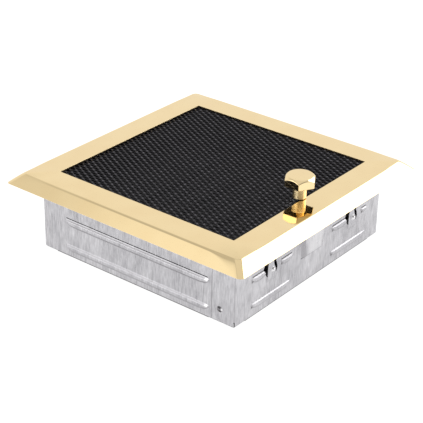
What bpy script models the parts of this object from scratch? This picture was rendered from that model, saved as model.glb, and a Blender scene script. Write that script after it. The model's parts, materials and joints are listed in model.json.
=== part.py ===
"""Square louvred air grille: a pressed brass front with a mesh, a louvre housing and a mounting frame.

The knob side faces -Y. The origin is the middle of the mounting frame's lower edge, +Z up.
"""
import math

import bmesh
import bpy
from mathutils import Vector

MM = 0.001
GAP = 0.3 * MM

# Front plate: half sides and heights of the pressed sheet
PLATE_HALF = 87.5 * MM
CREASE_HALF = 80.8 * MM
OPENING_HALF = 64.75 * MM
PLATE_TOP = 49.5 * MM
RIM_DROP = 6.1 * MM
PLATE_SHEET = 0.9 * MM
RIM_CORNER = 3.0 * MM
CREASE_CORNER = 1.6 * MM
OPENING_CORNER = 0.6 * MM
CREASE_ROUND = 1.0 * MM

# Mesh and the frame that clamps it
MESH_HALF = 69.0 * MM
MESH_TOP = PLATE_TOP - PLATE_SHEET - GAP
MESH_THICK = 0.9 * MM
CELL_X = 11.0 * MM
CELL_Y = 21.5 * MM
CELL_OPEN = 0.68
CLAMP_OUTER = 69.4 * MM
CLAMP_INNER = 63.2 * MM
CLAMP_TOP = MESH_TOP - MESH_THICK - GAP
CLAMP_THICK = 0.6 * MM

# Louvre housing
HOUSING_HALF = 69.6 * MM
HOUSING_SIDE = 69.1 * MM
HOUSING_SHEET = 0.8 * MM
HOUSING_TOP = CLAMP_TOP - CLAMP_THICK - GAP
HOUSING_BOTTOM = 13.0 * MM
SIDE_FLANGE = 6.0 * MM
END_FLANGE = 1.8 * MM
END_FLANGE_HALF = 62.0 * MM
TAB_LENGTH = 10.0 * MM
TAB_TOP = 41.0 * MM
STUD_AT = 65.2 * MM
STUD_RADIUS = 1.5 * MM
STUD_BOTTOM = 41.4 * MM
STUD_NUT_FLATS = 5.5 * MM
STUD_NUT_HEIGHT = 2.4 * MM
RIVET_RADIUS = 1.2 * MM
RIVET_HEAD = 2.4 * MM
RIVET_HEAD_THICK = 0.6 * MM
CORNER_RIVET_AT = 64.0 * MM
CORNER_RIVET_HEIGHT = 27.0 * MM

# Mounting frame
FRAME_HALF = 72.3 * MM
FRAME_SHEET = 0.8 * MM
FRAME_TOP = 47.0 * MM
FOLD_RADIUS = 1.6 * MM
LAP_LENGTH = 15.9 * MM
JOGGLE_LENGTH = 1.5 * MM
LAP_END_GAP = 1.9 * MM
FLANGE_WIDTH = 8.0 * MM
FLANGE_HALF = 62.0 * MM
SIDE_FLANGE_END = 54.0 * MM
BEAD_HEIGHT = 4.4 * MM
BEAD_RAISE = 1.0 * MM
KNOB_BEAD_SPAN = (20.6 * MM, 57.3 * MM)
KNOB_BEAD_LEVELS = (6.7 * MM, 23.2 * MM)
SIDE_BEAD_HALF = 54.3 * MM
SIDE_BEAD_LEVELS = (6.3 * MM, 23.0 * MM)
PAD_HALF = 11.2 * MM
PAD_BOTTOM = 17.4 * MM
PAD_RAISE = 2.4 * MM
PAD_SLOPE = 1.6 * MM
TONGUE_AT = 39.4 * MM
TONGUE_HALF = 3.5 * MM
TONGUE_SLOT = 3.2 * MM
TONGUE_ROOT = 20.0 * MM
TONGUE_TOP = 44.0 * MM
CLINCH = (-62.1 * MM, 8.5 * MM)
CLINCH_RADIUS = 1.5 * MM
CLINCH_RAISE = 0.5 * MM
RELIEF_HEIGHT = 3.65 * MM
RELIEF_HALF = 1.0 * MM

# Louvres
SLATS = 5
SLAT_PITCH = 26.4 * MM
PIVOT_Z = 30.5 * MM
SLAT_HALF_WIDTH = 12.8 * MM
SLAT_SHEET = 0.7 * MM
SLAT_LIP = 1.5 * MM
SLAT_START = -65.4 * MM
SLAT_END = 59.5 * MM
HAT_FOOT = 3.2 * MM
HAT_HALF = 2.0 * MM
HAT_RISE = 2.2 * MM
TAB_SHEET = 0.9 * MM
TAB_HALF = 4.8 * MM
SWING = math.radians(80)
AXLE_RADIUS = 1.5 * MM
AXLE_HALF = 70.1 * MM
BUSH_BORE = AXLE_RADIUS + GAP
BUSH_TUBE = 2.8 * MM
BUSH_FLANGE = 4.0 * MM
BUSH_INNER = 67.0 * MM
BUSH_OUTER = 69.9 * MM
CRANK_RADIUS = 9.0 * MM
CRANK_EYE = 3.2 * MM
PIN_RADIUS = 1.5 * MM
PIN_HEAD = 2.6 * MM
PIN_HEAD_THICK = 1.0 * MM
LINK_NEAR = 61.0 * MM
LINK_FAR = 62.6 * MM
LINK_HALF_HEIGHT = 3.0 * MM
LINK_OVERHANG = 4.5 * MM

# Knob, rod and yoke
KNOB_Y = -62.0 * MM
STEM_RADIUS = 4.0 * MM
ROD_RADIUS = 2.5 * MM
HEAD_CORNER = 9.8 * MM
HEAD_TOP_RADIUS = 7.65 * MM
HEAD_BOTTOM = 57.9 * MM
HEAD_HEIGHT = 6.0 * MM
STEM_BOTTOM = PLATE_TOP + GAP
BORE_TOP = 58.5 * MM
DRIVE_RADIUS = 9.2 * MM
SLOT_CLEAR = 0.35 * MM
YOKE_SHEET = 1.2 * MM
YOKE_NEAR = 4.4 * MM
YOKE_FAR = YOKE_NEAR + YOKE_SHEET
YOKE_RIM = 1.2 * MM
LUG_NEAR = 6.8 * MM
LUG_FAR = LUG_NEAR + YOKE_SHEET
LUG_ARM = 3.1 * MM
LUG_FOOT = (5.5 * MM, 11.6 * MM)
SPIGOT_RADIUS = 1.7 * MM
YOKE_NUT_FLATS = 7.0 * MM
YOKE_NUT_HEIGHT = 3.1 * MM
RING_THICK = 0.8 * MM
RING_OUTER = 4.4 * MM
GROOVE_RADIUS = 1.9 * MM
NOTCH_RADIUS = 3.2 * MM
WINDOW_HALF = 10.0 * MM
WINDOW_REACH = 5.0 * MM
BRACKET_HALF = 8.0 * MM
BRACKET_SHEET = 1.0 * MM
BRACKET_TOP = 45.0 * MM
BRACKET_LEG = 35.0 * MM
BRACKET_REACH = 55.0 * MM
GUIDE_BORE = ROD_RADIUS + GAP
GUIDE_TUBE = 4.0 * MM
GUIDE_FLANGE = 5.0 * MM
GUIDE_BOTTOM = 43.0 * MM
GUIDE_TOP = 45.9 * MM
BRACKET_RIVET_X = 5.5 * MM
BRACKET_RIVET_Z = 38.0 * MM

# Segments of a full turn
FINE, ROUND, COARSE = 32, 16, 12

HALF_SWING = SWING / 2
PIN_Y = -DRIVE_RADIUS * math.cos(HALF_SWING)
PIN_Z = -DRIVE_RADIUS * math.sin(HALF_SWING)
CRANK_Y = CRANK_RADIUS * math.sin(HALF_SWING)
CRANK_Z = -CRANK_RADIUS * math.cos(HALF_SWING)
TRAVEL = -2 * PIN_Z
SLOT_HALF = PIN_RADIUS + SLOT_CLEAR
PIN_LEVEL = PIVOT_Z + PIN_Z
YOKE_TAB_BOTTOM = PIN_LEVEL + SLOT_HALF + YOKE_RIM
YOKE_TAB_TOP = YOKE_TAB_BOTTOM + YOKE_SHEET
SHOULDER = YOKE_TAB_TOP + GAP
RING_TOP = GUIDE_BOTTOM - GAP - TRAVEL
CUTTER_EXTRA = 2.0 * MM
AXES = {"X": (1, 2, 0), "Y": (0, 2, 1), "Z": (0, 1, 2)}


def clear_scene():
    for thing in list(bpy.data.objects):
        bpy.data.objects.remove(thing, do_unlink=True)


def principled(name, colour, roughness, metallic):
    material = bpy.data.materials.new(name)
    material.use_nodes = True
    shader = material.node_tree.nodes["Principled BSDF"]
    shader.inputs["Base Color"].default_value = (*colour, 1.0)
    shader.inputs["Roughness"].default_value = roughness
    shader.inputs["Metallic"].default_value = metallic
    return material


def place(u, v, w, axis):
    """The point whose outline coordinates are u and v, at w along the axis."""
    point = [0.0, 0.0, 0.0]
    for value, index in zip((u, v, w), AXES[axis]):
        point[index] = value
    return Vector(point)


def mesh_object(name, bm, material, parent=None):
    bmesh.ops.recalc_face_normals(bm, faces=bm.faces)
    mesh = bpy.data.meshes.new(name)
    bm.to_mesh(mesh)
    bm.free()
    mesh.shade_smooth()
    mesh.set_sharp_from_angle(angle=math.radians(30))
    if material:
        mesh.materials.append(material)
    thing = bpy.data.objects.new(name, mesh)
    bpy.context.collection.objects.link(thing)
    thing.parent = parent
    return thing


def empty(name, location):
    thing = bpy.data.objects.new(name, None)
    thing.location = location
    bpy.context.collection.objects.link(thing)
    return thing


def add_prism(bm, outline, axis, start, end):
    """A flat outline extruded along an axis."""
    lower = [bm.verts.new(place(u, v, start, axis)) for u, v in outline]
    upper = [bm.verts.new(place(u, v, end, axis)) for u, v in outline]
    bm.faces.new(lower)
    bm.faces.new(upper)
    for i in range(len(outline)):
        j = (i + 1) % len(outline)
        bm.faces.new((lower[i], lower[j], upper[j], upper[i]))


def prism(name, outline, axis, start, end, material=None, parent=None):
    bm = bmesh.new()
    add_prism(bm, outline, axis, start, end)
    return mesh_object(name, bm, material, parent)


def add_box(bm, low, high):
    outline = [(low[0], low[1]), (high[0], low[1]), (high[0], high[1]), (low[0], high[1])]
    add_prism(bm, outline, "Z", low[2], high[2])


def boxes(name, corners, material=None, parent=None):
    bm = bmesh.new()
    for low, high in corners:
        add_box(bm, low, high)
    return mesh_object(name, bm, material, parent)


def rectangle(u0, v0, u1, v1):
    return [(u0, v0), (u1, v0), (u1, v1), (u0, v1)]


def arc(centre, radius, start, end, steps):
    return [
        (
            centre[0] + radius * math.cos(start + (end - start) * i / steps),
            centre[1] + radius * math.sin(start + (end - start) * i / steps),
        )
        for i in range(steps + 1)
    ]


def circle(centre, radius, steps):
    return arc(centre, radius, 0, math.tau * (steps - 1) / steps, steps - 1)


def hexagon(centre, flats, turn=0.0):
    return [
        (centre[0] + flats / math.sqrt(3) * math.cos(turn + k * math.tau / 6),
         centre[1] + flats / math.sqrt(3) * math.sin(turn + k * math.tau / 6))
        for k in range(6)
    ]


def stadium(start, end, radius, steps=ROUND // 2):
    """The outline of two discs and the bar that joins them."""
    heading = math.atan2(end[1] - start[1], end[0] - start[0])
    quarter = math.pi / 2
    return arc(end, radius, heading - quarter, heading + quarter, steps) + arc(
        start, radius, heading + quarter, heading + 3 * quarter, steps
    )


def add_turned(bm, profile, axis, centre, steps):
    """A solid of revolution: the profile's points are radius and place along the axis."""
    closed = all(radius > 0 for radius, _ in profile)
    rings = []
    for radius, along in profile:
        count = steps if radius > 0 else 1
        rings.append([
            bm.verts.new(place(centre[0] + radius * math.cos(math.tau * k / steps),
                               centre[1] + radius * math.sin(math.tau * k / steps), along, axis))
            for k in range(count)
        ])
    pairs = list(zip(rings, rings[1:])) + ([(rings[-1], rings[0])] if closed else [])
    for first, second in pairs:
        for k in range(steps):
            corners = [first[k % len(first)], first[(k + 1) % len(first)]]
            corners += [second[(k + 1) % len(second)], second[k % len(second)]]
            bm.faces.new(list(dict.fromkeys(corners)))


def turned(name, profile, axis, centre=(0.0, 0.0), material=None, parent=None, steps=ROUND):
    bm = bmesh.new()
    add_turned(bm, profile, axis, centre, steps)
    return mesh_object(name, bm, material, parent)


def rod_profile(*steps):
    """Radius and place pairs closed onto the axis at both ends."""
    return [(0.0, steps[0][1]), *steps, (0.0, steps[-1][1])]


def combine(target, tool, operation):
    """Joins or cuts with a hidden shape that moves with its target."""
    tool.parent = target
    tool.hide_render = True
    tool.display_type = "WIRE"
    modifier = target.modifiers.new(operation.title(), "BOOLEAN")
    modifier.operation = operation
    modifier.solver = "EXACT"
    modifier.object = tool
    return target


def drill(target, points, axis, radius, start, end, steps=ROUND):
    bm = bmesh.new()
    for point in points:
        add_prism(bm, circle(point, radius, steps), axis, start, end)
    return combine(target, mesh_object(target.name + "_holes", bm, None), "DIFFERENCE")


def rounded_square(half, radius, steps=3):
    inner = half - radius
    corners = ((inner, inner), (-inner, inner), (-inner, -inner), (inner, -inner))
    points = []
    for k, corner in enumerate(corners):
        points += arc(corner, radius, k * math.pi / 2, (k + 1) * math.pi / 2, steps)
    return points


def front_plate(brass):
    slope = math.atan2(RIM_DROP, PLATE_HALF - CREASE_HALF)
    inward = PLATE_SHEET * math.sin(slope)
    down = PLATE_SHEET * math.cos(slope)
    fall = CREASE_ROUND * math.sin(slope)
    run = CREASE_ROUND * math.cos(slope)
    profile = (
        (OPENING_HALF, PLATE_TOP, OPENING_CORNER),
        (CREASE_HALF - CREASE_ROUND, PLATE_TOP, CREASE_CORNER),
        (CREASE_HALF + run, PLATE_TOP - fall, CREASE_CORNER),
        (PLATE_HALF, PLATE_TOP - RIM_DROP, RIM_CORNER),
        (PLATE_HALF - inward, PLATE_TOP - RIM_DROP - down, RIM_CORNER),
        (CREASE_HALF + run - inward, PLATE_TOP - fall - down, CREASE_CORNER),
        (CREASE_HALF - CREASE_ROUND - inward / 2, PLATE_TOP - PLATE_SHEET, CREASE_CORNER),
        (OPENING_HALF, PLATE_TOP - PLATE_SHEET, OPENING_CORNER),
    )
    bm = bmesh.new()
    loops = [
        [bm.verts.new((x, y, height)) for x, y in rounded_square(half, radius)]
        for half, height, radius in profile
    ]
    for first, second in zip(loops, loops[1:] + loops[:1]):
        for k in range(len(first)):
            j = (k + 1) % len(first)
            bm.faces.new((first[k], first[j], second[j], second[k]))
    return mesh_object("front_plate", bm, brass)


def stud_points():
    return [(sx * STUD_AT, sy * STUD_AT) for sx in (-1, 1) for sy in (-1, 1)]


def mesh_panel(black):
    bottom = MESH_TOP - MESH_THICK
    panel = prism("mesh_panel", rectangle(-MESH_HALF, -MESH_HALF, MESH_HALF, MESH_HALF), "Z",
                  bottom, MESH_TOP, black)
    bm = bmesh.new()
    half_x, half_y = CELL_OPEN * CELL_X / 2, CELL_OPEN * CELL_Y / 2
    columns, rows = int(2 * OPENING_HALF / CELL_X), int(2 * OPENING_HALF / CELL_Y)
    for i in range(-columns, columns + 1):
        for j in range(-rows, rows + 1):
            x, y = i * CELL_X / 2, j * CELL_Y / 2
            inside = abs(x) + half_x < OPENING_HALF and abs(y) + half_y < OPENING_HALF
            near_knob = math.hypot(x, y - KNOB_Y) < CELL_Y * 0.75
            if (i + j) % 2 == 0 and inside and not near_knob:
                diamond = [(x - half_x, y), (x, y - half_y), (x + half_x, y), (x, y + half_y)]
                add_prism(bm, diamond, "Z", bottom - CUTTER_EXTRA, MESH_TOP + CUTTER_EXTRA)
    combine(panel, mesh_object("mesh_cells", bm, None), "DIFFERENCE")
    reach = (bottom - CUTTER_EXTRA, MESH_TOP + CUTTER_EXTRA)
    drill(panel, stud_points(), "Z", STUD_RADIUS + GAP, *reach, COARSE)
    return drill(panel, [(0, KNOB_Y)], "Z", NOTCH_RADIUS, *reach)


def mesh_clamp_frame(zinc):
    bottom = CLAMP_TOP - CLAMP_THICK
    reach = (bottom - CUTTER_EXTRA, CLAMP_TOP + CUTTER_EXTRA)
    ring = prism("mesh_clamp_frame", rectangle(-CLAMP_OUTER, -CLAMP_OUTER, CLAMP_OUTER, CLAMP_OUTER),
                 "Z", bottom, CLAMP_TOP, zinc)
    hole = prism("clamp_opening", rectangle(-CLAMP_INNER, -CLAMP_INNER, CLAMP_INNER, CLAMP_INNER),
                 "Z", *reach)
    combine(ring, hole, "DIFFERENCE")
    drill(ring, stud_points(), "Z", STUD_RADIUS + GAP, *reach, COARSE)
    return drill(ring, [(0, KNOB_Y)], "Z", NOTCH_RADIUS, *reach)


def studs(zinc):
    top = PLATE_TOP - PLATE_SHEET - GAP
    nut_top = HOUSING_TOP - HOUSING_SHEET - GAP
    for number, point in enumerate(stud_points(), 1):
        profile = rod_profile((STUD_RADIUS, STUD_BOTTOM), (STUD_RADIUS, top))
        turned(f"plate_stud_{number}", profile, "Z", point, zinc, steps=COARSE)
        nut = prism(f"stud_nut_{number}", hexagon(point, STUD_NUT_FLATS, math.pi / 6), "Z",
                    nut_top - STUD_NUT_HEIGHT, nut_top, zinc)
        drill(nut, [point], "Z", STUD_RADIUS + GAP, nut_top - STUD_NUT_HEIGHT - CUTTER_EXTRA,
              nut_top + CUTTER_EXTRA, COARSE)


def pivot_ys():
    middle = (SLATS - 1) / 2
    return [(k - middle) * SLAT_PITCH for k in range(SLATS)]


def housing_side(name, side, steel):
    """One of the two walls that carry the slat axles, with its top flange turned inwards."""
    inner = HOUSING_SIDE - HOUSING_SHEET
    section = [
        (side * HOUSING_SIDE, HOUSING_BOTTOM), (side * HOUSING_SIDE, HOUSING_TOP),
        (side * (inner - SIDE_FLANGE), HOUSING_TOP),
        (side * (inner - SIDE_FLANGE), HOUSING_TOP - HOUSING_SHEET),
        (side * inner, HOUSING_TOP - HOUSING_SHEET), (side * inner, HOUSING_BOTTOM),
    ]
    length = HOUSING_HALF - HOUSING_SHEET - GAP
    wall = prism(name, section, "Y", -length, length, steel)
    reach = sorted((side * (inner - CUTTER_EXTRA), side * (HOUSING_SIDE + CUTTER_EXTRA)))
    drill(wall, [(y, PIVOT_Z) for y in pivot_ys()], "X", BUSH_TUBE + GAP, *reach)
    drill(wall, [(sy * CORNER_RIVET_AT, CORNER_RIVET_HEIGHT) for sy in (-1, 1)], "X",
          RIVET_RADIUS + GAP, *reach, COARSE)
    flange_holes = [point for point in stud_points() if point[0] * side > 0]
    return drill(wall, flange_holes, "Z", STUD_RADIUS + GAP,
                 HOUSING_TOP - HOUSING_SHEET - CUTTER_EXTRA, HOUSING_TOP + CUTTER_EXTRA, COARSE)


def housing_end(name, side, steel):
    """A wall across the slats, with side tabs riveted to the walls that carry the axles."""
    outer, inner = side * HOUSING_HALF, side * (HOUSING_HALF - HOUSING_SHEET)
    tab_outer = HOUSING_SIDE - HOUSING_SHEET - GAP
    tab_inner = tab_outer - HOUSING_SHEET
    tab_end = side * (HOUSING_HALF - HOUSING_SHEET - TAB_LENGTH)
    plan = [
        (-tab_outer, tab_end), (-tab_outer, outer), (tab_outer, outer), (tab_outer, tab_end),
        (tab_inner, tab_end), (tab_inner, inner), (-tab_inner, inner), (-tab_inner, tab_end),
    ]
    wall = prism(name, plan, "Z", HOUSING_BOTTOM, TAB_TOP, steel)
    low, high = sorted((outer, inner))
    upper = ((-END_FLANGE_HALF, low, TAB_TOP - HOUSING_SHEET), (END_FLANGE_HALF, high, HOUSING_TOP))
    combine(wall, boxes(name + "_upper", [upper]), "UNION")
    low, high = sorted((outer, inner - side * END_FLANGE))
    flange = ((-END_FLANGE_HALF, low, HOUSING_TOP - HOUSING_SHEET), (END_FLANGE_HALF, high, HOUSING_TOP))
    combine(wall, boxes(name + "_flange", [flange]), "UNION")
    drill(wall, [(side * CORNER_RIVET_AT, CORNER_RIVET_HEIGHT)], "X", RIVET_RADIUS + GAP,
          -HOUSING_HALF, HOUSING_HALF, COARSE)
    return wall


def rivet_profile(start, end, head=RIVET_HEAD, thick=RIVET_HEAD_THICK, radius=RIVET_RADIUS):
    """A rivet between two places along its axis, with a head at each end."""
    way = 1 if end > start else -1
    return rod_profile((head, start), (head, start + way * thick), (radius, start + way * thick),
                       (radius, end - way * thick), (head, end - way * thick), (head, end))


def corner_rivets(zinc):
    inside = HOUSING_SIDE - 2 * HOUSING_SHEET - 2 * GAP - RIVET_HEAD_THICK
    outside = HOUSING_SIDE + GAP + RIVET_HEAD_THICK
    places = [(sx, sy) for sx in (-1, 1) for sy in (-1, 1)]
    for number, (sx, sy) in enumerate(places, 1):
        centre = (sy * CORNER_RIVET_AT, CORNER_RIVET_HEIGHT)
        profile = rivet_profile(sx * inside, sx * outside)
        turned(f"housing_rivet_{number}", profile, "X", centre, zinc, steps=COARSE)


def axle_bush(name, side, y, nylon):
    flange_end = HOUSING_SIDE - HOUSING_SHEET - GAP
    profile = (
        (BUSH_BORE, side * BUSH_INNER), (BUSH_FLANGE, side * BUSH_INNER),
        (BUSH_FLANGE, side * flange_end), (BUSH_TUBE, side * flange_end),
        (BUSH_TUBE, side * BUSH_OUTER), (BUSH_BORE, side * BUSH_OUTER),
    )
    return turned(name, profile, "X", (y, PIVOT_Z), nylon, steps=COARSE)


def guide_bracket(zinc):
    """The angle on the knob-side wall that holds the guide bush."""
    back = -(HOUSING_HALF - HOUSING_SHEET - GAP)
    section = [
        (back, BRACKET_LEG), (back, BRACKET_TOP), (-BRACKET_REACH, BRACKET_TOP),
        (-BRACKET_REACH, BRACKET_TOP - BRACKET_SHEET), (back + BRACKET_SHEET, BRACKET_TOP - BRACKET_SHEET),
        (back + BRACKET_SHEET, BRACKET_LEG),
    ]
    bracket = prism("guide_bracket", section, "X", -BRACKET_HALF, BRACKET_HALF, zinc)
    drill(bracket, [(0, KNOB_Y)], "Z", GUIDE_TUBE + GAP, BRACKET_TOP - BRACKET_SHEET - CUTTER_EXTRA,
          BRACKET_TOP + CUTTER_EXTRA)
    rivets = [(sx * BRACKET_RIVET_X, BRACKET_RIVET_Z) for sx in (-1, 1)]
    return drill(bracket, rivets, "Y", RIVET_RADIUS + GAP, back - CUTTER_EXTRA,
                 back + BRACKET_SHEET + CUTTER_EXTRA, COARSE)


def guide_bush(nylon):
    flange_end = BRACKET_TOP - BRACKET_SHEET - GAP
    profile = (
        (GUIDE_BORE, GUIDE_BOTTOM), (GUIDE_FLANGE, GUIDE_BOTTOM), (GUIDE_FLANGE, flange_end),
        (GUIDE_TUBE, flange_end), (GUIDE_TUBE, GUIDE_TOP), (GUIDE_BORE, GUIDE_TOP),
    )
    return turned("guide_bush", profile, "Z", (0, KNOB_Y), nylon)


def bracket_rivets(zinc, wall):
    inside = -(HOUSING_HALF - HOUSING_SHEET - 2 * GAP - BRACKET_SHEET - RIVET_HEAD_THICK)
    outside = -(HOUSING_HALF + GAP + RIVET_HEAD_THICK)
    points = [(sx * BRACKET_RIVET_X, BRACKET_RIVET_Z) for sx in (-1, 1)]
    drill(wall, points, "Y", RIVET_RADIUS + GAP, -HOUSING_HALF - CUTTER_EXTRA,
          -HOUSING_HALF + CUTTER_EXTRA, COARSE)
    for number, point in enumerate(points, 1):
        profile = rivet_profile(inside, outside)
        turned(f"bracket_rivet_{number}", profile, "Y", point, zinc, steps=COARSE)


def frame_half_plan():
    """Plan of one folded half: the lapped end, the knob wall, a fold, the side wall and its joggle."""
    half, thick, bend = FRAME_HALF, FRAME_SHEET, FOLD_RADIUS
    step = FRAME_SHEET + GAP
    lap_end = -half + LAP_LENGTH
    joggle_start = -lap_end - JOGGLE_LENGTH
    left, right = (-half + bend, -half + bend), (half - bend, -half + bend)
    quarter = math.pi / 2
    outer = [(-half, lap_end)]
    outer += arc(left, bend, 2 * quarter, 3 * quarter, 4)
    outer += arc(right, bend, 3 * quarter, 4 * quarter, 4)
    outer += [(half, joggle_start), (half - step, -lap_end), (half - step, half - LAP_END_GAP)]
    inner = [(half - step - thick, half - LAP_END_GAP), (half - step - thick, -lap_end),
             (half - thick, joggle_start)]
    inner += arc(right, bend - thick, 4 * quarter, 3 * quarter, 4)
    inner += arc(left, bend - thick, 3 * quarter, 2 * quarter, 4)
    inner += [(-half + thick, lap_end)]
    return outer + inner


def frame_flanges(half):
    edge, overlap = FRAME_HALF - FRAME_SHEET, FRAME_SHEET / 2
    inner = edge - FLANGE_WIDTH
    front = ((-FLANGE_HALF, -edge - overlap, 0.0), (FLANGE_HALF, -inner, FRAME_SHEET))
    side = ((inner, -FLANGE_HALF, 0.0), (edge + overlap, SIDE_FLANGE_END, FRAME_SHEET))
    combine(half, boxes(half.name + "_flanges", [front, side]), "UNION")


def frame_beads(half):
    """Pressed ribs: two interrupted rows on the knob wall and two long ones on the side wall."""
    radius, overlap = BEAD_HEIGHT / 2, FRAME_SHEET / 2
    bm = bmesh.new()
    near, far = KNOB_BEAD_SPAN
    for level in KNOB_BEAD_LEVELS:
        spans = [(near, far)] if level < TONGUE_ROOT else [
            (near, TONGUE_AT - TONGUE_HALF - TONGUE_SLOT), (TONGUE_AT + TONGUE_HALF + TONGUE_SLOT, far)]
        for side in (-1, 1):
            for start, end in spans:
                ends = sorted((side * (start + radius), side * (end - radius)))
                outline = stadium((ends[0], level), (ends[1], level), radius, 5)
                add_prism(bm, outline, "Y", -FRAME_HALF - BEAD_RAISE, -FRAME_HALF + overlap)
    for level in SIDE_BEAD_LEVELS:
        end = SIDE_BEAD_HALF - radius
        outline = stadium((-end, level), (end, level), radius, 5)
        add_prism(bm, outline, "X", FRAME_HALF - overlap, FRAME_HALF + BEAD_RAISE)
    combine(half, mesh_object(half.name + "_beads", bm, None), "UNION")


def frame_pad(half):
    """The raised middle pad of the knob wall, pressed outwards from the sheet."""
    face, thick = -FRAME_HALF, FRAME_SHEET
    top_half = PAD_HALF - PAD_SLOPE
    overlap = thick / 2
    outer = [(-PAD_HALF, face + overlap), (-top_half, face - PAD_RAISE),
             (top_half, face - PAD_RAISE), (PAD_HALF, face + overlap)]
    combine(half, prism(half.name + "_pad", outer, "Z", PAD_BOTTOM, FRAME_TOP - GAP), "UNION")
    inner = [(-PAD_HALF + thick, face + 2 * thick), (-top_half + thick, face - PAD_RAISE + thick),
             (top_half - thick, face - PAD_RAISE + thick), (PAD_HALF - thick, face + 2 * thick)]
    hollow = prism(half.name + "_pad_hollow", inner, "Z", PAD_BOTTOM + thick, FRAME_TOP + CUTTER_EXTRA)
    combine(half, hollow, "DIFFERENCE")


def frame_cuts(half):
    """Slots beside the two spring tongues, their shorter tops, and the corner relief."""
    front, back = -FRAME_HALF - CUTTER_EXTRA, -FRAME_HALF + CUTTER_EXTRA
    top = FRAME_TOP + CUTTER_EXTRA
    cuts = []
    for side in (-1, 1):
        for offset in (-TONGUE_HALF - TONGUE_SLOT, TONGUE_HALF):
            start = side * TONGUE_AT + offset
            cuts.append(((start, front, TONGUE_ROOT), (start + TONGUE_SLOT, back, top)))
    combine(half, boxes(half.name + "_slots", cuts), "DIFFERENCE")
    tops = [((side * TONGUE_AT - TONGUE_HALF - TONGUE_SLOT / 2, front, TONGUE_TOP),
             (side * TONGUE_AT + TONGUE_HALF + TONGUE_SLOT / 2, back, top)) for side in (-1, 1)]
    combine(half, boxes(half.name + "_tongue_tops", tops), "DIFFERENCE")
    corner = -FRAME_HALF
    relief = ((corner - RELIEF_HALF, corner - RELIEF_HALF, -RELIEF_HALF),
              (corner + RELIEF_HALF, corner + RELIEF_HALF, RELIEF_HEIGHT))
    combine(half, boxes(half.name + "_relief", [relief]), "DIFFERENCE")


def mounting_frame_half(name, turn, galvanised):
    half = prism(name, frame_half_plan(), "Z", 0.0, FRAME_TOP, galvanised)
    frame_flanges(half)
    frame_beads(half)
    frame_pad(half)
    frame_cuts(half)
    profile = rod_profile((CLINCH_RADIUS, -FRAME_HALF - CLINCH_RAISE),
                          (CLINCH_RADIUS, -FRAME_HALF + FRAME_SHEET / 2))
    combine(half, turned(name + "_clinch", profile, "X", CLINCH, steps=COARSE), "UNION")
    half.rotation_euler.z = turn
    return half


def blade_outline():
    """Section of a slat across its axle: two lipped wings and a channel over the axle."""
    t, wing = SLAT_SHEET / 2, SLAT_HALF_WIDTH
    upper = [(-wing, -SLAT_LIP), (-wing, t), (-HAT_FOOT, t), (-HAT_HALF - t, HAT_RISE + t)]
    lower = [(-HAT_HALF + t / 2, HAT_RISE - t), (-HAT_FOOT + t, -t), (-wing + 2 * t, -t),
             (-wing + 2 * t, -SLAT_LIP)]
    mirrored = [(-y, z) for y, z in reversed(upper)]
    return upper + mirrored + [(-y, z) for y, z in lower[::-1]] + lower


def tab_outline(reach):
    """End tab of a slat: it closes the channel and runs down to the crank eye where there is one."""
    top = [(-HAT_FOOT, 0.0), (-HAT_HALF, HAT_RISE), (HAT_HALF, HAT_RISE), (HAT_FOOT, 0.0)]
    if not reach:
        return top + arc((0, 0), TAB_HALF, 0, -math.pi, 6)
    eye = arc((CRANK_Y, CRANK_Z), CRANK_EYE, 0, -3 * math.pi / 4, 6)
    return top + [(CRANK_Y + CRANK_EYE, 0.0)] + eye + [(-TAB_HALF, 0.0)]


def slat(number, parent, steel):
    body = prism(f"slat_{number}", blade_outline(), "X", SLAT_START, SLAT_END, steel, parent)
    left = prism(f"slat_{number}_left_tab", tab_outline(False), "X", SLAT_START - GAP, SLAT_START + TAB_SHEET)
    combine(body, left, "UNION")
    right = prism(f"slat_{number}_right_tab", tab_outline(True), "X", SLAT_END - TAB_SHEET, SLAT_END + GAP)
    combine(body, right, "UNION")
    if number == 1:
        window = ((-WINDOW_HALF, -SLAT_HALF_WIDTH - CUTTER_EXTRA, -SLAT_HALF_WIDTH),
                  (WINDOW_HALF, WINDOW_REACH, SLAT_HALF_WIDTH))
        combine(body, boxes("slat_1_window", [window]), "DIFFERENCE")
    for start, end in ((SLAT_START, SLAT_START + TAB_SHEET), (SLAT_END - TAB_SHEET, SLAT_END)):
        drill(body, [(0, 0)], "X", AXLE_RADIUS + GAP, start - CUTTER_EXTRA, end + CUTTER_EXTRA)
    return drill(body, [(CRANK_Y, CRANK_Z)], "X", PIN_RADIUS + GAP, SLAT_END - TAB_SHEET - CUTTER_EXTRA,
                 SLAT_END + CUTTER_EXTRA)


def crank_pin(number, parent, zinc):
    inside = SLAT_END - TAB_SHEET - GAP - PIN_HEAD_THICK
    outside = LINK_FAR + GAP + PIN_HEAD_THICK
    profile = rivet_profile(inside, outside, PIN_HEAD, PIN_HEAD_THICK, PIN_RADIUS)
    return turned(f"crank_pin_{number}", profile, "X", (CRANK_Y, CRANK_Z), zinc, parent, COARSE)


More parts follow.
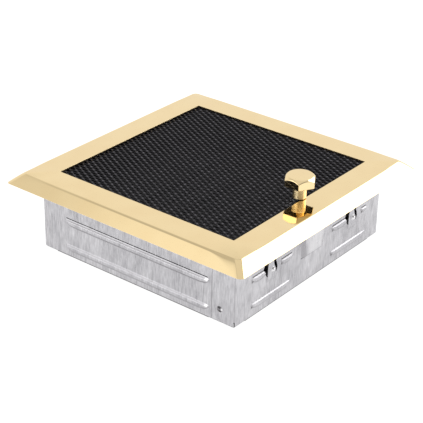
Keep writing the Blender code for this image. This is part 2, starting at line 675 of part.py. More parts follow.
def drive_lug(parent, zinc):
    """The arm on the first slat's axle that carries the drive pin, with a foot under the blade."""
    arm = stadium((0, 0), (PIN_Y, PIN_Z), LUG_ARM)
    lug = prism("drive_lug", arm, "X", -LUG_FAR, -LUG_NEAR, zinc, parent)
    foot_top = -SLAT_SHEET / 2 - GAP
    foot_bottom = foot_top - BRACKET_SHEET
    stem = ((-LUG_FAR, AXLE_RADIUS, -LUG_ARM), (-LUG_NEAR, LUG_FOOT[1], foot_top))
    combine(lug, boxes("lug_stem", [stem]), "UNION")
    foot = ((-LUG_FAR + GAP, LUG_FOOT[0], foot_bottom), (LUG_NEAR, LUG_FOOT[1] - GAP, foot_top - GAP / 3))
    combine(lug, boxes("lug_foot", [foot]), "UNION")
    holes = [(0, 0), (PIN_Y, PIN_Z)]
    return drill(lug, holes, "X", AXLE_RADIUS + GAP, -LUG_FAR - CUTTER_EXTRA, -LUG_NEAR + CUTTER_EXTRA)


def drive_pin(parent, zinc):
    head = -LUG_FAR - GAP
    profile = rod_profile((PIN_HEAD, head - PIN_HEAD_THICK), (PIN_HEAD, head), (PIN_RADIUS, head),
                          (PIN_RADIUS, -YOKE_NEAR + GAP))
    return turned("drive_pin", profile, "X", (PIN_Y, PIN_Z), zinc, parent, COARSE)


def link_bar(parent, zinc):
    """The tie bar, in the frame of the first crank pin."""
    last = (SLATS - 1) * SLAT_PITCH
    outline = rectangle(-LINK_OVERHANG, -LINK_HALF_HEIGHT, last + LINK_OVERHANG, LINK_HALF_HEIGHT)
    bar = prism("link_bar", outline, "X", LINK_NEAR, LINK_FAR, zinc, parent)
    eyes = [(k * SLAT_PITCH, 0) for k in range(SLATS)]
    return drill(bar, eyes, "X", PIN_RADIUS + GAP, LINK_NEAR - CUTTER_EXTRA, LINK_FAR + CUTTER_EXTRA)


def hex_knob(parent, brass):
    """The knob in the frame of its axis: a chamfered hexagon head and a stem, bored for the rod."""
    turn = math.pi / 2
    flats = HEAD_CORNER * math.sqrt(3)
    top = HEAD_BOTTOM + HEAD_HEIGHT
    knob = prism("hex_knob", hexagon((0, 0), flats, turn), "Z", HEAD_BOTTOM, top, brass, parent)
    reach = HEAD_CORNER + CUTTER_EXTRA
    cone = rod_profile((reach, HEAD_BOTTOM - CUTTER_EXTRA), (reach, top - (reach - HEAD_TOP_RADIUS)),
                       (HEAD_TOP_RADIUS, top))
    combine(knob, turned("knob_chamfer", cone, "Z", steps=FINE), "INTERSECT")
    stem = rod_profile((STEM_RADIUS, STEM_BOTTOM), (STEM_RADIUS, HEAD_BOTTOM + GAP))
    combine(knob, turned("knob_stem", stem, "Z", steps=FINE), "UNION")
    return drill(knob, [(0, 0)], "Z", ROD_RADIUS + GAP, STEM_BOTTOM - CUTTER_EXTRA, BORE_TOP)


def pull_rod(parent, zinc):
    """The rod from the knob's bore down to the yoke, with a groove for the ring and a thinner end."""
    ring_low = RING_TOP - RING_THICK - GAP
    end = YOKE_TAB_BOTTOM - GAP - YOKE_NUT_HEIGHT - RING_THICK
    profile = rod_profile(
        (SPIGOT_RADIUS, end), (SPIGOT_RADIUS, SHOULDER), (ROD_RADIUS, SHOULDER), (ROD_RADIUS, ring_low),
        (GROOVE_RADIUS, ring_low), (GROOVE_RADIUS, RING_TOP + GAP), (ROD_RADIUS, RING_TOP + GAP),
        (ROD_RADIUS, BORE_TOP - GAP))
    return turned("pull_rod", profile, "Z", material=zinc, parent=parent)


def retaining_ring(parent, zinc):
    bore = GROOVE_RADIUS + GAP
    profile = ((bore, RING_TOP - RING_THICK), (RING_OUTER, RING_TOP - RING_THICK),
               (RING_OUTER, RING_TOP), (bore, RING_TOP))
    return turned("retaining_ring", profile, "Z", material=zinc, parent=parent)


def yoke_plate(parent, zinc):
    """The angle under the stem: a tab for the spigot and a slotted leg for the drive pin."""
    middle, near = -SLAT_PITCH * 2 + PIN_Y - KNOB_Y, -SLAT_PITCH * 2 - DRIVE_RADIUS - KNOB_Y
    low_y, high_y = near - SLOT_HALF - YOKE_RIM, middle + SLOT_HALF + YOKE_RIM
    bottom = PIN_LEVEL - SLOT_HALF - YOKE_RIM
    leg = rectangle(low_y, bottom, high_y, YOKE_TAB_TOP)
    yoke = prism("yoke_plate", leg, "X", -YOKE_FAR, -YOKE_NEAR, zinc, parent)
    tab = ((-YOKE_FAR + GAP, low_y + GAP, YOKE_TAB_BOTTOM), (YOKE_NEAR, -low_y - GAP, YOKE_TAB_TOP - GAP / 3))
    combine(yoke, boxes("yoke_tab", [tab]), "UNION")
    slot = stadium((near, PIN_LEVEL), (middle, PIN_LEVEL), SLOT_HALF, 6)
    combine(yoke, prism("yoke_slot", slot, "X", -YOKE_FAR - CUTTER_EXTRA, -YOKE_NEAR + CUTTER_EXTRA),
            "DIFFERENCE")
    return drill(yoke, [(0, 0)], "Z", SPIGOT_RADIUS + GAP, YOKE_TAB_BOTTOM - CUTTER_EXTRA,
                 YOKE_TAB_TOP + CUTTER_EXTRA)


def yoke_nut(parent, zinc):
    top = YOKE_TAB_BOTTOM - GAP
    nut = prism("yoke_nut", hexagon((0, 0), YOKE_NUT_FLATS, math.pi / 6), "Z", top - YOKE_NUT_HEIGHT, top,
                zinc, parent)
    return drill(nut, [(0, 0)], "Z", SPIGOT_RADIUS + GAP, top - YOKE_NUT_HEIGHT - CUTTER_EXTRA,
                 top + CUTTER_EXTRA, COARSE)


def louvres(steel, zinc, nylon):
    for number, y in enumerate(pivot_ys(), 1):
        axis = empty(f"slat_{number}_axis", (0.0, y, PIVOT_Z))
        slat(number, axis, steel)
        axle = rod_profile((AXLE_RADIUS, -AXLE_HALF), (AXLE_RADIUS, AXLE_HALF))
        turned(f"slat_axle_{number}", axle, "X", material=zinc, parent=axis, steps=COARSE)
        crank_pin(number, axis, zinc)
        axle_bush(f"axle_bush_left_{number}", -1, y, nylon)
        axle_bush(f"axle_bush_right_{number}", 1, y, nylon)
        if number == 1:
            drive_lug(axis, zinc)
            drive_pin(axis, zinc)
    link = empty("link_axis", (0.0, pivot_ys()[0] + CRANK_Y, PIVOT_Z + CRANK_Z))
    link_bar(link, zinc)


def build():
    clear_scene()
    brass = principled("polished_brass", (0.9, 0.68, 0.36), 0.12, 1.0)
    black = principled("black_steel", (0.03, 0.03, 0.032), 0.4, 0.6)
    steel = principled("louvre_steel", (0.05, 0.05, 0.055), 0.5, 0.4)
    galvanised = principled("galvanised_sheet", (0.62, 0.62, 0.66), 0.38, 1.0)
    zinc = principled("zinc_plate", (0.66, 0.67, 0.7), 0.3, 1.0)
    nylon = principled("nylon", (0.82, 0.8, 0.74), 0.5, 0.0)
    front_plate(brass)
    mesh_panel(black)
    mesh_clamp_frame(zinc)
    studs(zinc)
    housing_side("housing_left", -1, steel)
    housing_side("housing_right", 1, steel)
    knob_wall = housing_end("housing_knob_side", -1, steel)
    housing_end("housing_far_side", 1, steel)
    corner_rivets(zinc)
    guide_bracket(zinc)
    guide_bush(nylon)
    bracket_rivets(zinc, knob_wall)
    mounting_frame_half("mounting_frame_front", 0.0, galvanised)
    mounting_frame_half("mounting_frame_rear", math.pi, galvanised)
    louvres(steel, zinc, nylon)
    slide = empty("knob_slide", (0.0, KNOB_Y, 0.0))
    hex_knob(slide, brass)
    pull_rod(slide, zinc)
    retaining_ring(slide, zinc)
    yoke_plate(slide, zinc)
    yoke_nut(slide, zinc)


build()
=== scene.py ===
"""The louvred air grille's looks: polished brass, expanded mesh, galvanised sheet and blackened louvres."""
import json
import math

import bmesh
import bpy
import numpy as np
from mathutils import Matrix, Vector


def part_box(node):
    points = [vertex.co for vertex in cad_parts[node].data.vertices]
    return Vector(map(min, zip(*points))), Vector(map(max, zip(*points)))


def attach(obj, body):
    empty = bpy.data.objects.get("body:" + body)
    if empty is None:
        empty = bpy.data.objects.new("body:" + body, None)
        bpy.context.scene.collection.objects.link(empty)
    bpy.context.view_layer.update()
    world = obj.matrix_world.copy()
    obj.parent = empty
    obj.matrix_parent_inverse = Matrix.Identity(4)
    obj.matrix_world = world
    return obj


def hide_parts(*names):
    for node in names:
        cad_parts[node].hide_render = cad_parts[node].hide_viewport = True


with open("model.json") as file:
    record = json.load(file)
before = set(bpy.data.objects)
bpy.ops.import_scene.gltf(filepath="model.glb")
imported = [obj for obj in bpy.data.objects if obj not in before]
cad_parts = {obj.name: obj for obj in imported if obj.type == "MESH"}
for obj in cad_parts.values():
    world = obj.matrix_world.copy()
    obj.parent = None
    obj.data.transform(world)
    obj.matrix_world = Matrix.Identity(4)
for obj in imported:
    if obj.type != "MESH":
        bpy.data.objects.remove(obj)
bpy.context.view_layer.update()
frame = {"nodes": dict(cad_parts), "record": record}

nodes = frame["nodes"]
MM = 0.001

# Camera
LENS = 116.9
SENSOR = 36.0
CAMERA_AT = Vector((-581.9, -453.6, 407.3)) * MM
AZIMUTH, ELEVATION, ROLL = math.radians(-51.967), math.radians(27.752), math.radians(1.177)

# Heights and half sides read from the frame
PLATE_LOW, PLATE_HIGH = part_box("front_plate")
PLATE_TOP = PLATE_HIGH.z
PLATE_HALF = PLATE_HIGH.x
MESH_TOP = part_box("mesh_panel")[1].z
KNOB_LOW, KNOB_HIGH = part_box("hex_knob")
KNOB_X, KNOB_Y = (KNOB_LOW.x + KNOB_HIGH.x) / 2, (KNOB_LOW.y + KNOB_HIGH.y) / 2


def make_camera():
    """A long lens, aimed by the way from the object back to the camera and a small roll."""
    back = Vector((math.sin(AZIMUTH) * math.cos(ELEVATION),
                   -math.cos(AZIMUTH) * math.cos(ELEVATION), math.sin(ELEVATION)))
    right = Vector((0, 0, 1)).cross(back).normalized()
    up = back.cross(right)
    turned_right = right * math.cos(ROLL) + up * math.sin(ROLL)
    turned_up = up * math.cos(ROLL) - right * math.sin(ROLL)
    data = bpy.data.cameras.new("camera")
    data.lens = LENS
    data.sensor_width = SENSOR
    data.clip_end = 100
    camera = bpy.data.objects.new("camera", data)
    bpy.context.scene.collection.objects.link(camera)
    axes = Matrix((turned_right, turned_up, back)).transposed().to_4x4()
    camera.matrix_world = Matrix.Translation(CAMERA_AT) @ axes
    bpy.context.scene.camera = camera


# Materials

BRASS_TONES = (0.35, (0.885, 0.69, 0.385)), (0.65, (0.905, 0.715, 0.405))
# Painted shade: dark brown for the pressed plate's faces that look down
BRASS_UNDERSIDE_SHADE = (0.16, 0.13, 0.09)
# Mesh paint, then a paler colour for painted highlights on its bonds
MESH_PAINT, MESH_BOND_HIGHLIGHT = (0.0135, 0.0122, 0.0148), (0.13, 0.124, 0.138)
LOUVRE_PAINT = (0.026, 0.025, 0.028)
SHEET_TONES = (0.36, (0.346, 0.34, 0.36)), (0.5, (0.51, 0.502, 0.52)), (0.64, (0.676, 0.666, 0.686))
# The first is painted shade on the frame's pressed slopes; scuffs and blotches are the sheet's own marks
SLOPE_SHADE, SCUFF, BLOTCH = (0.36, 0.35, 0.365), (0.22, 0.215, 0.225), (0.27, 0.262, 0.27)
# The first is painted shade and shadow lines on the frame, the second painted highlights
PAINTED_SHADE, HIGHLIGHT_ZINC = (0.13, 0.125, 0.13), (0.80, 0.79, 0.80)
# Painted shade: dark tones for the zinc pieces behind the mesh
SHADED_ZINC_TONES = (0.3, (0.2, 0.205, 0.22)), (0.7, (0.28, 0.28, 0.29))
NYLON_TONES = (0.3, (0.02, 0.02, 0.02)), (0.7, (0.035, 0.034, 0.033))


def new_material(name):
    material = bpy.data.materials.new(name)
    material.use_nodes = True
    tree = material.node_tree
    shader = tree.nodes["Principled BSDF"]
    return material, tree, shader


def node(tree, kind, **settings):
    """A new node whose inputs or properties take the given settings."""
    made = tree.nodes.new(kind)
    for key, value in settings.items():
        if key in made.inputs:
            made.inputs[key].default_value = value
        else:
            setattr(made, key, value)
    return made


def parts_of(tree, coordinate):
    """The X, Y and Z parts of a texture coordinate."""
    place = node(tree, "ShaderNodeTexCoord")
    split = node(tree, "ShaderNodeSeparateXYZ")
    tree.links.new(place.outputs[coordinate], split.inputs["Vector"])
    return tuple(split.outputs[axis] for axis in "XYZ")


def mapped(tree, scale=(1, 1, 1)):
    """The piece's own coordinates in metres, stretched along an axis that has a scale under 1."""
    place = node(tree, "ShaderNodeTexCoord")
    mapping = node(tree, "ShaderNodeMapping")
    mapping.inputs["Scale"].default_value = scale
    tree.links.new(place.outputs["Object"], mapping.inputs["Vector"])
    return mapping.outputs["Vector"]


def noise(tree, vector, scale, detail=4.0, roughness=0.5):
    texture = node(tree, "ShaderNodeTexNoise", Scale=scale, Detail=detail, Roughness=roughness)
    tree.links.new(vector, texture.inputs["Vector"])
    return texture.outputs["Fac"]


def ramp(tree, value, *stops):
    """A colour read from (position, colour) stops."""
    made = node(tree, "ShaderNodeValToRGB")
    elements = made.color_ramp.elements
    while len(elements) < len(stops):
        elements.new(0.5)
    for element, (position, colour) in zip(elements, stops):
        element.position = position
        element.color = (*colour, 1.0)
    tree.links.new(value, made.inputs["Fac"])
    return made.outputs["Color"]


def spread(tree, value, low, high, start, end):
    """The given value's run from start to end, carried onto low to high and held there."""
    made = node(tree, "ShaderNodeMapRange")
    for key, number in (("From Min", start), ("From Max", end), ("To Min", low), ("To Max", high)):
        made.inputs[key].default_value = number
    tree.links.new(value, made.inputs["Value"])
    return made.outputs["Result"]


def mix_colours(tree, factor, first, second):
    """A blend of two colours; the factor and both colours may be sockets or plain values."""
    made = node(tree, "ShaderNodeMix", data_type="RGBA")
    if isinstance(factor, float):
        made.inputs["Factor"].default_value = factor
    else:
        tree.links.new(factor, made.inputs["Factor"])
    for colour, socket in ((first, made.inputs["A"]), (second, made.inputs["B"])):
        if isinstance(colour, tuple):
            socket.default_value = (*colour, 1.0)
        else:
            tree.links.new(colour, socket)
    return made.outputs["Result"]


def math_node(tree, operation, first, second=None):
    """A maths node fed by sockets or plain numbers."""
    result = node(tree, "ShaderNodeMath", operation=operation)
    for slot, given in enumerate((first, second)):
        if isinstance(given, (int, float)):
            result.inputs[slot].default_value = given
        elif given is not None:
            tree.links.new(given, result.inputs[slot])
    return result.outputs["Value"]


def mix_values(tree, factor, first, second):
    made = node(tree, "ShaderNodeMix", data_type="FLOAT")
    tree.links.new(factor, made.inputs["Factor"])
    tree.links.new(first, made.inputs[2])
    made.inputs[3].default_value = second
    return made.outputs[0]


def joined(tree, operation, first, *others):
    """Several values taken through one operation in turn."""
    for other in others:
        first = math_node(tree, operation, first, other)
    return first


def facing_down(tree, start, end):
    """1 on the faces that look down at the floor."""
    _, _, up = parts_of(tree, "Normal")
    return spread(tree, up, 1.0, 0.0, -end, -start)


def formed_slope_shade(tree, start, end):
    """1 where the sheet leaves its flat faces, for painted shade on pressed slopes; less on faces that look
    up, which are left lit.
    """
    way = parts_of(tree, "Normal")
    sizes = [math_node(tree, "ABSOLUTE", part) for part in way]
    most = joined(tree, "MAXIMUM", *sizes)
    shade_share = spread(tree, most, 1.0, 0.0, end, start)
    least = math_node(tree, "ADD", 0.3, math_node(tree, "MULTIPLY", 0.25, sizes[0]))
    keep = math_node(tree, "MAXIMUM", spread(tree, way[2], 0.85, 0.0, 0.0, 0.3), least)
    return math_node(tree, "MULTIPLY", shade_share, keep)


def bump(tree, shader, height, strength, distance):
    made = node(tree, "ShaderNodeBump", Strength=strength, Distance=distance)
    tree.links.new(height, made.inputs["Height"])
    tree.links.new(made.outputs["Normal"], shader.inputs["Normal"])


def polished_brass(name, dull_shaded_back):
    """Mirror brass with faint haze; a pressed plate's back is rougher, and painted dark brown as painted
    shade where it looks down.
    """
    material, tree, shader = new_material(name)
    shader.inputs["Metallic"].default_value = 1.0
    cloud = noise(tree, mapped(tree), 60, 3)
    colour = ramp(tree, cloud, *BRASS_TONES)
    haze = noise(tree, mapped(tree), 400, 5, 0.6)
    rough = spread(tree, haze, 0.04, 0.075, 0.3, 0.7)
    if dull_shaded_back:
        # Painted shade: faces that look down get dark brown, and also more roughness
        under = facing_down(tree, 0.2, 0.5)
        colour = mix_colours(tree, under, colour, BRASS_UNDERSIDE_SHADE)
        rough = mix_values(tree, under, rough, 0.5)
    tree.links.new(colour, shader.inputs["Base Color"])
    tree.links.new(rough, shader.inputs["Roughness"])
    bump(tree, shader, noise(tree, mapped(tree), 90, 2), 0.02, 0.0005)
    return material


def black_paint(name, colour, rough, gloss, bond_highlight=None):
    """Matt black paint, with a paler colour painted on the mesh's bonds as highlights if one is given."""
    material, tree, shader = new_material(name)
    cloud = noise(tree, mapped(tree), 300, 4)
    darker = tuple(0.7 * part for part in colour)
    tint = ramp(tree, cloud, (0.3, darker), (0.7, colour))
    if bond_highlight:
        # Painted highlights: the bonds get a paler colour
        tint = mix_colours(tree, bond_highlights(tree, cloud), tint, bond_highlight)
    tree.links.new(tint, shader.inputs["Base Color"])
    tree.links.new(spread(tree, cloud, rough - 0.06, rough + 0.08, 0.3, 0.7), shader.inputs["Roughness"])
    shader.inputs["Specular IOR Level"].default_value = gloss
    bump(tree, shader, noise(tree, mapped(tree), 2500, 3), 0.15, 0.0001)
    return material


def bond_highlights(tree, cloud):
    """1 on the raised bonds between the mesh's holes, painted paler as highlights."""
    waves = []
    for part, pitch in zip(parts_of(tree, "Object"), (PITCH_X, PITCH_Y)):
        turn = math_node(tree, "MULTIPLY", part, 2 * math.pi / pitch)
        waves.append(math_node(tree, "COSINE", turn))
    bond = math_node(tree, "MULTIPLY", *waves)
    spot = spread(tree, bond, 1.0, 0.0, -0.92, -0.72)
    return math_node(tree, "MULTIPLY", spot, spread(tree, cloud, 0.35, 1.0, 0.35, 0.6))


def band(tree, value, at, inner, outer):
    """1 within the inner distance of a place, 0 beyond the outer one."""
    off = math_node(tree, "ABSOLUTE", math_node(tree, "SUBTRACT", value, at))
    return spread(tree, off, 1.0, 0.0, inner, outer)


def frame_places(tree):
    """Places on the frame: across, away, height, along a knob wall, near a lap joint, on a knob wall."""
    x, y, z = parts_of(tree, "Object")
    across, away = math_node(tree, "ABSOLUTE", x), math_node(tree, "ABSOLUTE", y)
    outside = FRAME_HALF - 2.0 * MM, FRAME_HALF - 1.6 * MM
    along = joined(tree, "MULTIPLY", x, math_node(tree, "SIGN", y), -1.0)
    by_lap = math_node(tree, "GREATER_THAN", math_node(tree, "MULTIPLY", x, y), 0.0)
    on_side = math_node(tree, "MULTIPLY", spread(tree, across, 0.0, 1.0, *outside), by_lap)
    return across, away, z, along, on_side, spread(tree, away, 0.0, 1.0, *outside)


def frame_painted_shade(tree):
    """1 in the folds, the corner relief, the lap joint, the dents, along the foot, under the pad and at the
    knob-wall beads' starts: painted shade and shadow lines.
    """
    across, away, z, along, on_side, on_wall = frame_places(tree)
    nearer = math_node(tree, "MINIMUM", across, away)
    fold = spread(tree, nearer, 0.0, 0.2, FRAME_HALF - 0.62 * MM, FRAME_HALF - 0.42 * MM)
    at_corner = spread(tree, nearer, 0.0, 1.0, FRAME_HALF - 0.85 * MM, FRAME_HALF - 0.7 * MM)
    low_down = spread(tree, z, 1.0, 0.0, RELIEF_TOP - 0.2 * MM, RELIEF_TOP)
    relief = math_node(tree, "MULTIPLY", at_corner, low_down)
    foot = spread(tree, z, 0.85, 0.0, 0.45 * MM, 1.1 * MM)
    lap = joined(tree, "MULTIPLY", band(tree, away, -LAP_END, 0.1 * MM, 0.4 * MM), on_side, 0.4)
    clinch = joined(tree, "MULTIPLY", band(tree, away, -CLINCH_AT - 0.8 * MM, 0.6 * MM, 1.1 * MM),
                    band(tree, z, CLINCH_Z + 0.6 * MM, 0.8 * MM, 1.3 * MM), on_side)
    pad = joined(tree, "MULTIPLY", band(tree, z, PAD_BOTTOM + 0.35 * MM, 0.3 * MM, 0.65 * MM), on_wall,
                 spread(tree, across, 0.8, 0.0, PAD_HALF - 1.2 * MM, PAD_HALF - 0.6 * MM))
    tips = [joined(tree, "MULTIPLY", band(tree, along, start + 0.9 * MM, 0.3 * MM, 1.0 * MM),
                   band(tree, z, level - 0.3 * MM, 0.3 * MM, 1.2 * MM), on_wall, 0.8)
            for start, _, level in KNOB_BEADS]
    return joined(tree, "MAXIMUM", fold, relief, foot, lap, clinch, pad, *tips)


def frame_painted_highlights(tree):
    """1 on the pad's face, the dimples, the clinch's lip and the side beads' ends: painted highlights."""
    across, away, z, along, on_side, on_wall = frame_places(tree)
    pad_middle = spread(tree, across, 0.45, 0.0, PAD_HALF - 6.0 * MM, PAD_HALF - 1.8 * MM)
    pad_top = spread(tree, z, 0.0, 1.0, PAD_BOTTOM + 1.2 * MM, PAD_BOTTOM + 4.5 * MM)
    pad = math_node(tree, "MULTIPLY", pad_middle, pad_top)
    dimples = [joined(tree, "MULTIPLY", band(tree, along, middle + DIMPLE_AT, 1.2 * MM, 1.8 * MM),
                      band(tree, z, DIMPLE_Z, 1.2 * MM, 1.8 * MM))
               for middle in TONGUES]
    on_knob_wall = math_node(tree, "MULTIPLY", joined(tree, "MAXIMUM", pad, *dimples), on_wall)
    clinch = joined(tree, "MULTIPLY", band(tree, away, -CLINCH_AT + 0.7 * MM, 0.6 * MM, 1.0 * MM),
                    band(tree, z, CLINCH_Z - 0.9 * MM, 0.8 * MM, 1.2 * MM), on_side)
    glints = [joined(tree, "MULTIPLY", band(tree, away, end - 1.6 * MM, 0.5 * MM, 1.5 * MM),
                     band(tree, z, level + 1.0 * MM, 0.5 * MM, 1.4 * MM), on_side, 0.75)
              for _, end, level in SIDE_BEADS]
    return joined(tree, "MAXIMUM", on_knob_wall, clinch, *glints)


def galvanised():
    """Hot-dip zinc with fine upright streaks, faint clouds and blotches, painted shade on pressed slopes,
    folds, joints and dents, and painted highlights on a few raised spots.
    """
    material, tree, shader = new_material("galvanised_sheet")
    shader.inputs["Metallic"].default_value = 1.0
    fine = noise(tree, mapped(tree, (1, 1, 0.11)), 1300, 4, 0.65)
    broad = noise(tree, mapped(tree, (1, 1, 0.3)), 190, 4, 0.6)
    cloud = noise(tree, mapped(tree), 45, 3)
    streaks = mix_colours(tree, 0.32, fine, broad)
    tone = mix_colours(tree, 0.2, streaks, cloud)
    tint = ramp(tree, tone, *SHEET_TONES)
    across, away, *_ = frame_places(tree)
    nearer = math_node(tree, "MINIMUM", across, away)
    off_fold = spread(tree, nearer, 1.0, 0.35, FRAME_HALF - 1.2 * MM, FRAME_HALF - 0.7 * MM)
    # Painted shade on slopes pressed out of the sheet, lighter where they look up and weaker beside the folds
    shade_share = math_node(tree, "MULTIPLY", formed_slope_shade(tree, 0.995, 0.86), off_fold)
    slope_shaded = mix_colours(tree, shade_share, tint, SLOPE_SHADE)
    marks = noise(tree, mapped(tree, (1, 1, 0.07)), 520, 3, 0.6)
    scuffed = mix_colours(tree, spread(tree, marks, 0.0, 0.4, 0.60, 0.70), slope_shaded, SCUFF)
    patches = noise(tree, mapped(tree, (1, 1, 0.6)), 190, 4, 0.6)
    blotched = mix_colours(tree, spread(tree, patches, 0.0, 0.22, 0.52, 0.66), scuffed, BLOTCH)
    # Painted shade: darker in the folds, lap joint, dents, along the foot, under the pad and at the beads'
    # starts
    shaded = mix_colours(tree, frame_painted_shade(tree), blotched, PAINTED_SHADE)
    # Painted highlights: a pale colour on the pad's face, the dimples, the clinch's lip and the side beads'
    # ends
    highlighted = mix_colours(tree, frame_painted_highlights(tree), shaded, HIGHLIGHT_ZINC)
    tree.links.new(highlighted, shader.inputs["Base Color"])
    tree.links.new(spread(tree, streaks, 0.26, 0.42, 0.35, 0.65), shader.inputs["Roughness"])
    bump(tree, shader, streaks, 0.10, 0.0003)
    return material


def zinc_plate():
    """Zinc on the fixings and the linkage behind the mesh, painted dark as painted shade."""
    material, tree, shader = new_material("zinc_plate")
    shader.inputs["Metallic"].default_value = 1.0
    cloud = noise(tree, mapped(tree), 250, 4)
    # Painted shade: dark zinc tones
    tree.links.new(ramp(tree, cloud, *SHADED_ZINC_TONES), shader.inputs["Base Color"])
    tree.links.new(spread(tree, cloud, 0.22, 0.38, 0.3, 0.7), shader.inputs["Roughness"])
    return material


def nylon():
    """Black nylon with a soft sheen."""
    material, tree, shader = new_material("nylon")
    cloud = noise(tree, mapped(tree), 400, 3)
    tree.links.new(ramp(tree, cloud, *NYLON_TONES), shader.inputs["Base Color"])
    shader.inputs["Roughness"].default_value = 0.45
    return material


# Shape helpers


def finish_piece(name, bm, material, body, replaced, sharp=None):
    """Turns a bmesh into a named piece that rides a body, with edges over the sharp angle kept crisp."""
    bmesh.ops.recalc_face_normals(bm, faces=bm.faces)
    mesh = bpy.data.meshes.new(name)
    bm.to_mesh(mesh)
    bm.free()
    mesh.shade_smooth()
    if sharp:
        mesh.set_sharp_from_angle(angle=math.radians(sharp))
    mesh.materials.append(material)
    piece = bpy.data.objects.new(name, mesh)
    bpy.context.scene.collection.objects.link(piece)
    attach(piece, body)
    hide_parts(*replaced)


def arc(centre, radius, start, end, steps):
    """Points along a circle from one angle to another."""
    return [(centre[0] + radius * math.cos(start + (end - start) * i / steps),
             centre[1] + radius * math.sin(start + (end - start) * i / steps)) for i in range(steps + 1)]


def bridge(bm, loops, closed=True):
    """Quads between successive loops of the same count, with the last joined to the first if closed."""
    pairs = list(zip(loops, loops[1:])) + ([(loops[-1], loops[0])] if closed else [])
    for first, second in pairs:
        for k in range(len(first)):
            j = (k + 1) % len(first)
            bm.faces.new((first[k], first[j], second[j], second[k]))


# Front plate

RIM_DROP = 6.1 * MM
CREASE_HALF = 80.8 * MM
OPENING_HALF = 64.75 * MM
PLATE_SHEET = 0.9 * MM
CREASE_IN = 1.0 * MM
CREASE_OUT, CORNER_OUT = 1.2 * MM, 8.2 * MM
CORNER_REACH, CORNER_EASE = 25 * MM, 2.6
EDGE = 0.025 * MM
RIM_EDGE = 0.03 * MM
CORNER_STEPS = 12
SIDE_PLACES = [-1 + 0.02 * k for k in range(24)] + [-0.5 + 0.1 * k for k in range(11)]
SIDE_PLACES += [0.54 + 0.02 * k for k in range(24)]


def crease_levels(out):
    """(half side, height) across a crease that eases into the sloping border over the given length."""
    slope = math.atan2(RIM_DROP, PLATE_HALF - CREASE_HALF)
    start = Vector((CREASE_HALF - CREASE_IN, PLATE_TOP))
    bend = Vector((CREASE_HALF, PLATE_TOP))
    end = bend + Vector((math.cos(slope), -math.sin(slope))) * out
    steps = [k / 10 for k in range(11)]
    return [tuple(start * (1 - t) ** 2 + bend * 2 * t * (1 - t) + end * t * t) for t in steps]


def plate_levels(out):
    """(half side, height) of the skin from the opening over the crease, round the rim and back beneath."""
    slope = math.atan2(RIM_DROP, PLATE_HALF - CREASE_HALF)
    along = Vector((math.cos(slope), -math.sin(slope)))
    down = Vector((-math.sin(slope), -math.cos(slope)))
    rim = Vector((PLATE_HALF, PLATE_TOP - RIM_DROP))
    skin = [(OPENING_HALF, PLATE_TOP - 2 * EDGE), (OPENING_HALF, PLATE_TOP - EDGE),
            (OPENING_HALF + EDGE, PLATE_TOP), (OPENING_HALF + 3 * EDGE, PLATE_TOP)]
    skin += crease_levels(out)
    skin += [tuple(rim - along * 2 * RIM_EDGE), tuple(rim - along * RIM_EDGE),
             tuple(rim - along * RIM_EDGE * 0.3 + down * RIM_EDGE * 0.3),
             tuple(rim + down * RIM_EDGE - along * 0.02 * MM)]
    back = rim + down * PLATE_SHEET - along * 0.28 * MM
    skin += [tuple(back), tuple(back - along * 0.3 * MM)]
    under = Vector((CREASE_HALF - PLATE_SHEET * math.tan(slope / 2), PLATE_TOP - PLATE_SHEET))
    skin += [tuple(under + along * 0.8 * MM), tuple(under + (along - Vector((1, 0))) * 0.2 * MM),
             tuple(under - Vector((0.8 * MM, 0))), (OPENING_HALF + 3 * EDGE, PLATE_TOP - PLATE_SHEET),
             (OPENING_HALF, PLATE_TOP - PLATE_SHEET + EDGE)]
    return skin


def corner_radius(half):
    """The opening's corner is nearly square, the pressed crease and rim are rounder."""
    share = min(max((half - OPENING_HALF) / (CREASE_HALF - OPENING_HALF), 0.0), 1.0)
    return (0.5 + 2.7 * share ** 2) * MM


def plate_columns():
    """For each place round the border: its quarter turn, its spot on the side or corner, and its crease."""
    columns = []
    for quarter in range(4):
        for place in SIDE_PLACES:
            away = (1 - abs(place)) * CREASE_HALF
            ease = smooth(1 - away / CORNER_REACH)
            crease = CREASE_OUT + (CORNER_OUT - CREASE_OUT) * ease ** CORNER_EASE
            columns.append((quarter, place, None, crease))
        for step in range(1, CORNER_STEPS):
            columns.append((quarter, 1.0, step / CORNER_STEPS * math.pi / 2, CORNER_OUT))
    return columns


def plate_point(half, z, quarter, place, angle):
    """A point of the skin, on a straight side if it has no corner angle."""
    radius = corner_radius(half)
    reach = half - radius
    if angle is None:
        flat = (half, place * reach)
    else:
        flat = (reach + radius * math.cos(angle), reach + radius * math.sin(angle))
    turn = quarter * math.pi / 2
    return (flat[0] * math.cos(turn) - flat[1] * math.sin(turn),
            flat[0] * math.sin(turn) + flat[1] * math.cos(turn), z)


def front_plate(brass):
    """The pressed plate: one thin skin from the opening over the crease and rim and back beneath."""
    bm = bmesh.new()
    places = plate_columns()
    levels = [plate_levels(out) for *_, out in places]
    loops = [[bm.verts.new(plate_point(*levels[k][level], *place[:3])) for k, place in enumerate(places)]
             for level in range(len(levels[0]))]
    bridge(bm, loops)
    finish_piece("front_plate_pressed", bm, brass, "frame", ["front_plate"], sharp=50)


# Expanded mesh

PITCH_X, PITCH_Y = 3.67 * MM, 7.17 * MM
MESH_REACH = 66.5 * MM
STRAND_THICK, STRAND_TILT, STRAND_ROUND = 0.7 * MM, 0.22 * MM, 0.3 * MM
HOLE_HALF_X, HOLE_HALF_Y = 1.14 * MM, 2.6 * MM
HOLE_POINTS = 12
ROD_CLEAR = 3.4 * MM


